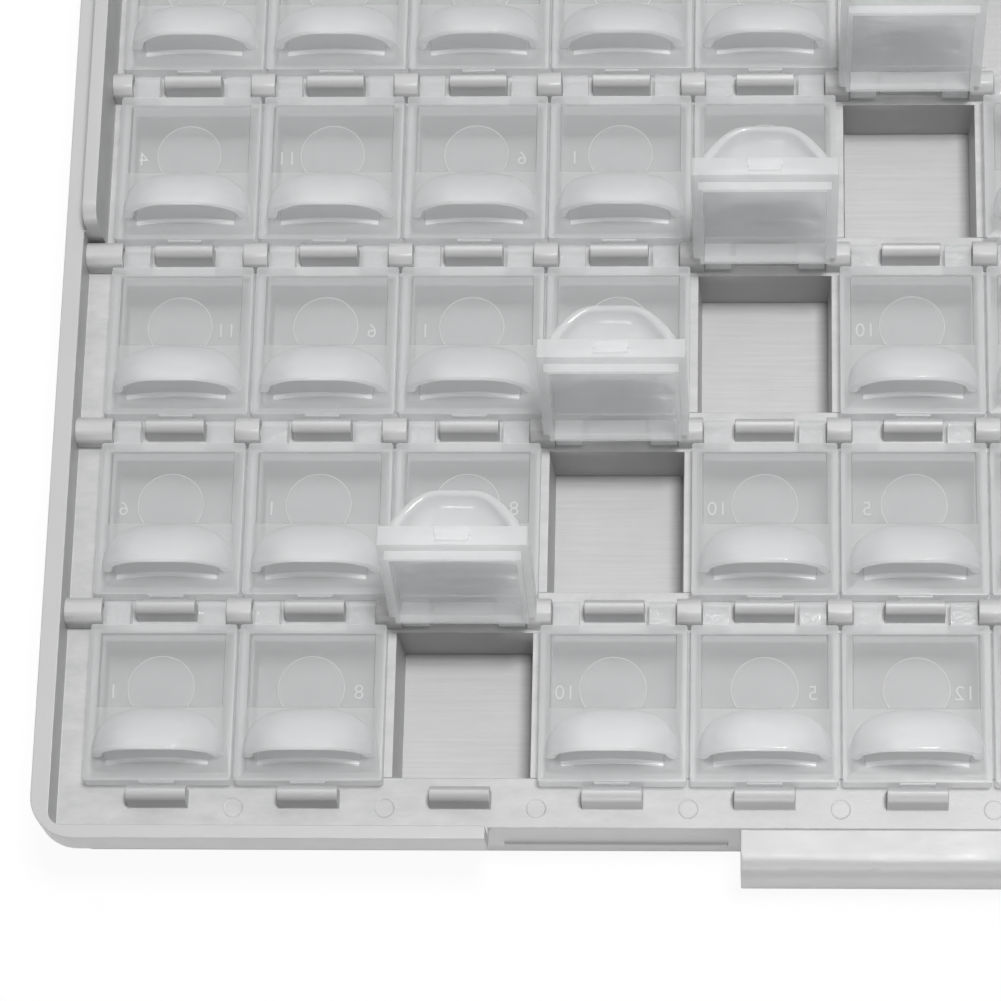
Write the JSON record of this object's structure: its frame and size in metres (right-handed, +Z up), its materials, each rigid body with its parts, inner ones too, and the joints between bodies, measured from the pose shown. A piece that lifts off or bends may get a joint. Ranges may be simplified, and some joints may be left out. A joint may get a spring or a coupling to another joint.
{
  "type": "individual lid bead organizer",
  "caption": "Flat moulded case of small pockets in rows, each with its own clear snap lid that lifts by a raised hood, and a hinged cover.",
  "frame": {"origin": "middle of the flat underside of the tray", "axes": "+Z up, +Y from the front edge to the cover hinge, +X along the rows"},
  "size_m": [0.2204, 0.307, 0.0334],
  "materials": {
    "tray_plastic": "satin",
    "lid_plastic": "satin"
  },
  "bodies": {
    "tray": {"tray_shell": "tray_plastic", "dividers": "tray_plastic", "cover_pins": "tray_plastic", "hinge_rail_1": "tray_plastic", "hinge_rail_2": "tray_plastic", "hinge_rail_3": "tray_plastic", "hinge_rail_4": "tray_plastic", "hinge_rail_5": "tray_plastic", "hinge_rail_6": "tray_plastic"},
    "cover": {"cover": "tray_plastic"},
    "lid_gang_r1_c8_c12": {"lid_gang_r1_c8_c12": "lid_plastic"},
    "lid_gang_r2_c8_c12": {"lid_gang_r2_c8_c12": "lid_plastic"},
    "lid_gang_r3_c8_c12": {"lid_gang_r3_c8_c12": "lid_plastic"},
    "lid_gang_r4_c8_c12": {"lid_gang_r4_c8_c12": "lid_plastic"},
    "lid_gang_r5_c8_c12": {"lid_gang_r5_c8_c12": "lid_plastic"},
    "lid_gang_r6_c1_c6": {"lid_gang_r6_c1_c6": "lid_plastic"},
    "lid_gang_r6_c7_c12": {"lid_gang_r6_c7_c12": "lid_plastic"},
    "lid_r1_c3": {"lid_r1_c3": "lid_plastic"},
    "lid_r2_c4": {"lid_r2_c4": "lid_plastic"},
    "lid_r3_c5": {"lid_r3_c5": "lid_plastic"},
    "lid_r4_c6": {"lid_r4_c6": "lid_plastic"},
    "lid_r5_c7": {"lid_r5_c7": "lid_plastic"},
    "lid_r1_c1": {"lid_r1_c1": "lid_plastic"},
    "lid_r1_c2": {"lid_r1_c2": "lid_plastic"},
    "lid_r1_c4": {"lid_r1_c4": "lid_plastic"},
    "lid_r1_c5": {"lid_r1_c5": "lid_plastic"},
    "lid_r1_c6": {"lid_r1_c6": "lid_plastic"},
    "lid_r1_c7": {"lid_r1_c7": "lid_plastic"},
    "lid_r2_c1": {"lid_r2_c1": "lid_plastic"},
    "lid_r2_c2": {"lid_r2_c2": "lid_plastic"},
    "lid_r2_c3": {"lid_r2_c3": "lid_plastic"},
    "lid_r2_c5": {"lid_r2_c5": "lid_plastic"},
    "lid_r2_c6": {"lid_r2_c6": "lid_plastic"},
    "lid_r2_c7": {"lid_r2_c7": "lid_plastic"},
    "lid_r3_c1": {"lid_r3_c1": "lid_plastic"},
    "lid_r3_c2": {"lid_r3_c2": "lid_plastic"},
    "lid_r3_c3": {"lid_r3_c3": "lid_plastic"},
    "lid_r3_c4": {"lid_r3_c4": "lid_plastic"},
    "lid_r3_c6": {"lid_r3_c6": "lid_plastic"},
    "lid_r3_c7": {"lid_r3_c7": "lid_plastic"},
    "lid_r4_c1": {"lid_r4_c1": "lid_plastic"},
    "lid_r4_c2": {"lid_r4_c2": "lid_plastic"},
    "lid_r4_c3": {"lid_r4_c3": "lid_plastic"},
    "lid_r4_c4": {"lid_r4_c4": "lid_plastic"},
    "lid_r4_c5": {"lid_r4_c5": "lid_plastic"},
    "lid_r4_c7": {"lid_r4_c7": "lid_plastic"},
    "lid_r5_c1": {"lid_r5_c1": "lid_plastic"},
    "lid_r5_c2": {"lid_r5_c2": "lid_plastic"},
    "lid_r5_c3": {"lid_r5_c3": "lid_plastic"},
    "lid_r5_c4": {"lid_r5_c4": "lid_plastic"},
    "lid_r5_c5": {"lid_r5_c5": "lid_plastic"},
    "lid_r5_c6": {"lid_r5_c6": "lid_plastic"}
  },
  "joints": [
    {"name": "cover_hinge", "type": "hinge", "parent": "tray", "child": "cover", "pos_m": [0, 0.0773, 0.0159], "axis": [1, 0, 0], "range_deg": [0, 180]},
    {"name": "lid_gang_r1_c8_c12_hinge", "type": "hinge", "parent": "tray", "child": "lid_gang_r1_c8_c12", "pos_m": [0.06125, -0.0469, 0.0124], "axis": [1, 0, 0], "range_deg": [-98, 0]},
    {"name": "lid_gang_r2_c8_c12_hinge", "type": "hinge", "parent": "tray", "child": "lid_gang_r2_c8_c12", "pos_m": [0.06125, -0.0244, 0.0124], "axis": [1, 0, 0], "range_deg": [-98, 0]},
    {"name": "lid_gang_r3_c8_c12_hinge", "type": "hinge", "parent": "tray", "child": "lid_gang_r3_c8_c12", "pos_m": [0.06125, -0.0019, 0.0124], "axis": [1, 0, 0], "range_deg": [-98, 0]},
    {"name": "lid_gang_r4_c8_c12_hinge", "type": "hinge", "parent": "tray", "child": "lid_gang_r4_c8_c12", "pos_m": [0.06125, 0.0206, 0.0124], "axis": [1, 0, 0], "range_deg": [-98, 0]},
    {"name": "lid_gang_r5_c8_c12_hinge", "type": "hinge", "parent": "tray", "child": "lid_gang_r5_c8_c12", "pos_m": [0.06125, 0.0431, 0.0124], "axis": [1, 0, 0], "range_deg": [-98, 0]},
    {"name": "lid_gang_r6_c1_c6_hinge", "type": "hinge", "parent": "tray", "child": "lid_gang_r6_c1_c6", "pos_m": [-0.0525, 0.0656, 0.0124], "axis": [1, 0, 0], "range_deg": [-98, 0]},
    {"name": "lid_gang_r6_c7_c12_hinge", "type": "hinge", "parent": "tray", "child": "lid_gang_r6_c7_c12", "pos_m": [0.0525, 0.0656, 0.0124], "axis": [1, 0, 0], "range_deg": [-98, 0]},
    {"name": "lid_r1_c3_hinge", "type": "hinge", "parent": "tray", "child": "lid_r1_c3", "pos_m": [-0.06125, -0.0469, 0.0124], "axis": [1, 0, 0], "range_deg": [0, 98]},
    {"name": "lid_r2_c4_hinge", "type": "hinge", "parent": "tray", "child": "lid_r2_c4", "pos_m": [-0.04375, -0.0244, 0.0124], "axis": [1, 0, 0], "range_deg": [0, 98]},
    {"name": "lid_r3_c5_hinge", "type": "hinge", "parent": "tray", "child": "lid_r3_c5", "pos_m": [-0.02625, -0.0019, 0.0124], "axis": [1, 0, 0], "range_deg": [0, 98]},
    {"name": "lid_r4_c6_hinge", "type": "hinge", "parent": "tray", "child": "lid_r4_c6", "pos_m": [-0.00875, 0.0206, 0.0124], "axis": [1, 0, 0], "range_deg": [0, 98]},
    {"name": "lid_r5_c7_hinge", "type": "hinge", "parent": "tray", "child": "lid_r5_c7", "pos_m": [0.00875, 0.0431, 0.0124], "axis": [1, 0, 0], "range_deg": [0, 98]},
    {"name": "lid_r1_c1_hinge", "type": "hinge", "parent": "tray", "child": "lid_r1_c1", "pos_m": [-0.09625, -0.0469, 0.0124], "axis": [1, 0, 0], "range_deg": [-98, 0]},
    {"name": "lid_r1_c2_hinge", "type": "hinge", "parent": "tray", "child": "lid_r1_c2", "pos_m": [-0.07875, -0.0469, 0.0124], "axis": [1, 0, 0], "range_deg": [-98, 0]},
    {"name": "lid_r1_c4_hinge", "type": "hinge", "parent": "tray", "child": "lid_r1_c4", "pos_m": [-0.04375, -0.0469, 0.0124], "axis": [1, 0, 0], "range_deg": [-98, 0]},
    {"name": "lid_r1_c5_hinge", "type": "hinge", "parent": "tray", "child": "lid_r1_c5", "pos_m": [-0.02625, -0.0469, 0.0124], "axis": [1, 0, 0], "range_deg": [-98, 0]},
    {"name": "lid_r1_c6_hinge", "type": "hinge", "parent": "tray", "child": "lid_r1_c6", "pos_m": [-0.00875, -0.0469, 0.0124], "axis": [1, 0, 0], "range_deg": [-98, 0]},
    {"name": "lid_r1_c7_hinge", "type": "hinge", "parent": "tray", "child": "lid_r1_c7", "pos_m": [0.00875, -0.0469, 0.0124], "axis": [1, 0, 0], "range_deg": [-98, 0]},
    {"name": "lid_r2_c1_hinge", "type": "hinge", "parent": "tray", "child": "lid_r2_c1", "pos_m": [-0.09625, -0.0244, 0.0124], "axis": [1, 0, 0], "range_deg": [-98, 0]},
    {"name": "lid_r2_c2_hinge", "type": "hinge", "parent": "tray", "child": "lid_r2_c2", "pos_m": [-0.07875, -0.0244, 0.0124], "axis": [1, 0, 0], "range_deg": [-98, 0]},
    {"name": "lid_r2_c3_hinge", "type": "hinge", "parent": "tray", "child": "lid_r2_c3", "pos_m": [-0.06125, -0.0244, 0.0124], "axis": [1, 0, 0], "range_deg": [-98, 0]},
    {"name": "lid_r2_c5_hinge", "type": "hinge", "parent": "tray", "child": "lid_r2_c5", "pos_m": [-0.02625, -0.0244, 0.0124], "axis": [1, 0, 0], "range_deg": [-98, 0]},
    {"name": "lid_r2_c6_hinge", "type": "hinge", "parent": "tray", "child": "lid_r2_c6", "pos_m": [-0.00875, -0.0244, 0.0124], "axis": [1, 0, 0], "range_deg": [-98, 0]},
    {"name": "lid_r2_c7_hinge", "type": "hinge", "parent": "tray", "child": "lid_r2_c7", "pos_m": [0.00875, -0.0244, 0.0124], "axis": [1, 0, 0], "range_deg": [-98, 0]},
    {"name": "lid_r3_c1_hinge", "type": "hinge", "parent": "tray", "child": "lid_r3_c1", "pos_m": [-0.09625, -0.0019, 0.0124], "axis": [1, 0, 0], "range_deg": [-98, 0]},
    {"name": "lid_r3_c2_hinge", "type": "hinge", "parent": "tray", "child": "lid_r3_c2", "pos_m": [-0.07875, -0.0019, 0.0124], "axis": [1, 0, 0], "range_deg": [-98, 0]},
    {"name": "lid_r3_c3_hinge", "type": "hinge", "parent": "tray", "child": "lid_r3_c3", "pos_m": [-0.06125, -0.0019, 0.0124], "axis": [1, 0, 0], "range_deg": [-98, 0]},
    {"name": "lid_r3_c4_hinge", "type": "hinge", "parent": "tray", "child": "lid_r3_c4", "pos_m": [-0.04375, -0.0019, 0.0124], "axis": [1, 0, 0], "range_deg": [-98, 0]},
    {"name": "lid_r3_c6_hinge", "type": "hinge", "parent": "tray", "child": "lid_r3_c6", "pos_m": [-0.00875, -0.0019, 0.0124], "axis": [1, 0, 0], "range_deg": [-98, 0]},
    {"name": "lid_r3_c7_hinge", "type": "hinge", "parent": "tray", "child": "lid_r3_c7", "pos_m": [0.00875, -0.0019, 0.0124], "axis": [1, 0, 0], "range_deg": [-98, 0]},
    {"name": "lid_r4_c1_hinge", "type": "hinge", "parent": "tray", "child": "lid_r4_c1", "pos_m": [-0.09625, 0.0206, 0.0124], "axis": [1, 0, 0], "range_deg": [-98, 0]},
    {"name": "lid_r4_c2_hinge", "type": "hinge", "parent": "tray", "child": "lid_r4_c2", "pos_m": [-0.07875, 0.0206, 0.0124], "axis": [1, 0, 0], "range_deg": [-98, 0]},
    {"name": "lid_r4_c3_hinge", "type": "hinge", "parent": "tray", "child": "lid_r4_c3", "pos_m": [-0.06125, 0.0206, 0.0124], "axis": [1, 0, 0], "range_deg": [-98, 0]},
    {"name": "lid_r4_c4_hinge", "type": "hinge", "parent": "tray", "child": "lid_r4_c4", "pos_m": [-0.04375, 0.0206, 0.0124], "axis": [1, 0, 0], "range_deg": [-98, 0]},
    {"name": "lid_r4_c5_hinge", "type": "hinge", "parent": "tray", "child": "lid_r4_c5", "pos_m": [-0.02625, 0.0206, 0.0124], "axis": [1, 0, 0], "range_deg": [-98, 0]},
    {"name": "lid_r4_c7_hinge", "type": "hinge", "parent": "tray", "child": "lid_r4_c7", "pos_m": [0.00875, 0.0206, 0.0124], "axis": [1, 0, 0], "range_deg": [-98, 0]},
    {"name": "lid_r5_c1_hinge", "type": "hinge", "parent": "tray", "child": "lid_r5_c1", "pos_m": [-0.09625, 0.0431, 0.0124], "axis": [1, 0, 0], "range_deg": [-98, 0]},
    {"name": "lid_r5_c2_hinge", "type": "hinge", "parent": "tray", "child": "lid_r5_c2", "pos_m": [-0.07875, 0.0431, 0.0124], "axis": [1, 0, 0], "range_deg": [-98, 0]},
    {"name": "lid_r5_c3_hinge", "type": "hinge", "parent": "tray", "child": "lid_r5_c3", "pos_m": [-0.06125, 0.0431, 0.0124], "axis": [1, 0, 0], "range_deg": [-98, 0]},
    {"name": "lid_r5_c4_hinge", "type": "hinge", "parent": "tray", "child": "lid_r5_c4", "pos_m": [-0.04375, 0.0431, 0.0124], "axis": [1, 0, 0], "range_deg": [-98, 0]},
    {"name": "lid_r5_c5_hinge", "type": "hinge", "parent": "tray", "child": "lid_r5_c5", "pos_m": [-0.02625, 0.0431, 0.0124], "axis": [1, 0, 0], "range_deg": [-98, 0]},
    {"name": "lid_r5_c6_hinge", "type": "hinge", "parent": "tray", "child": "lid_r5_c6", "pos_m": [-0.00875, 0.0431, 0.0124], "axis": [1, 0, 0], "range_deg": [-98, 0]}
  ],
  "couplings": [
    {"joint": "lid_r1_c3_hinge", "follows": "cover_hinge", "ratio": 0.54444},
    {"joint": "lid_r2_c4_hinge", "follows": "cover_hinge", "ratio": 0.54444},
    {"joint": "lid_r3_c5_hinge", "follows": "cover_hinge", "ratio": 0.54444},
    {"joint": "lid_r4_c6_hinge", "follows": "cover_hinge", "ratio": 0.54444},
    {"joint": "lid_r5_c7_hinge", "follows": "cover_hinge", "ratio": 0.54444}
  ]
}
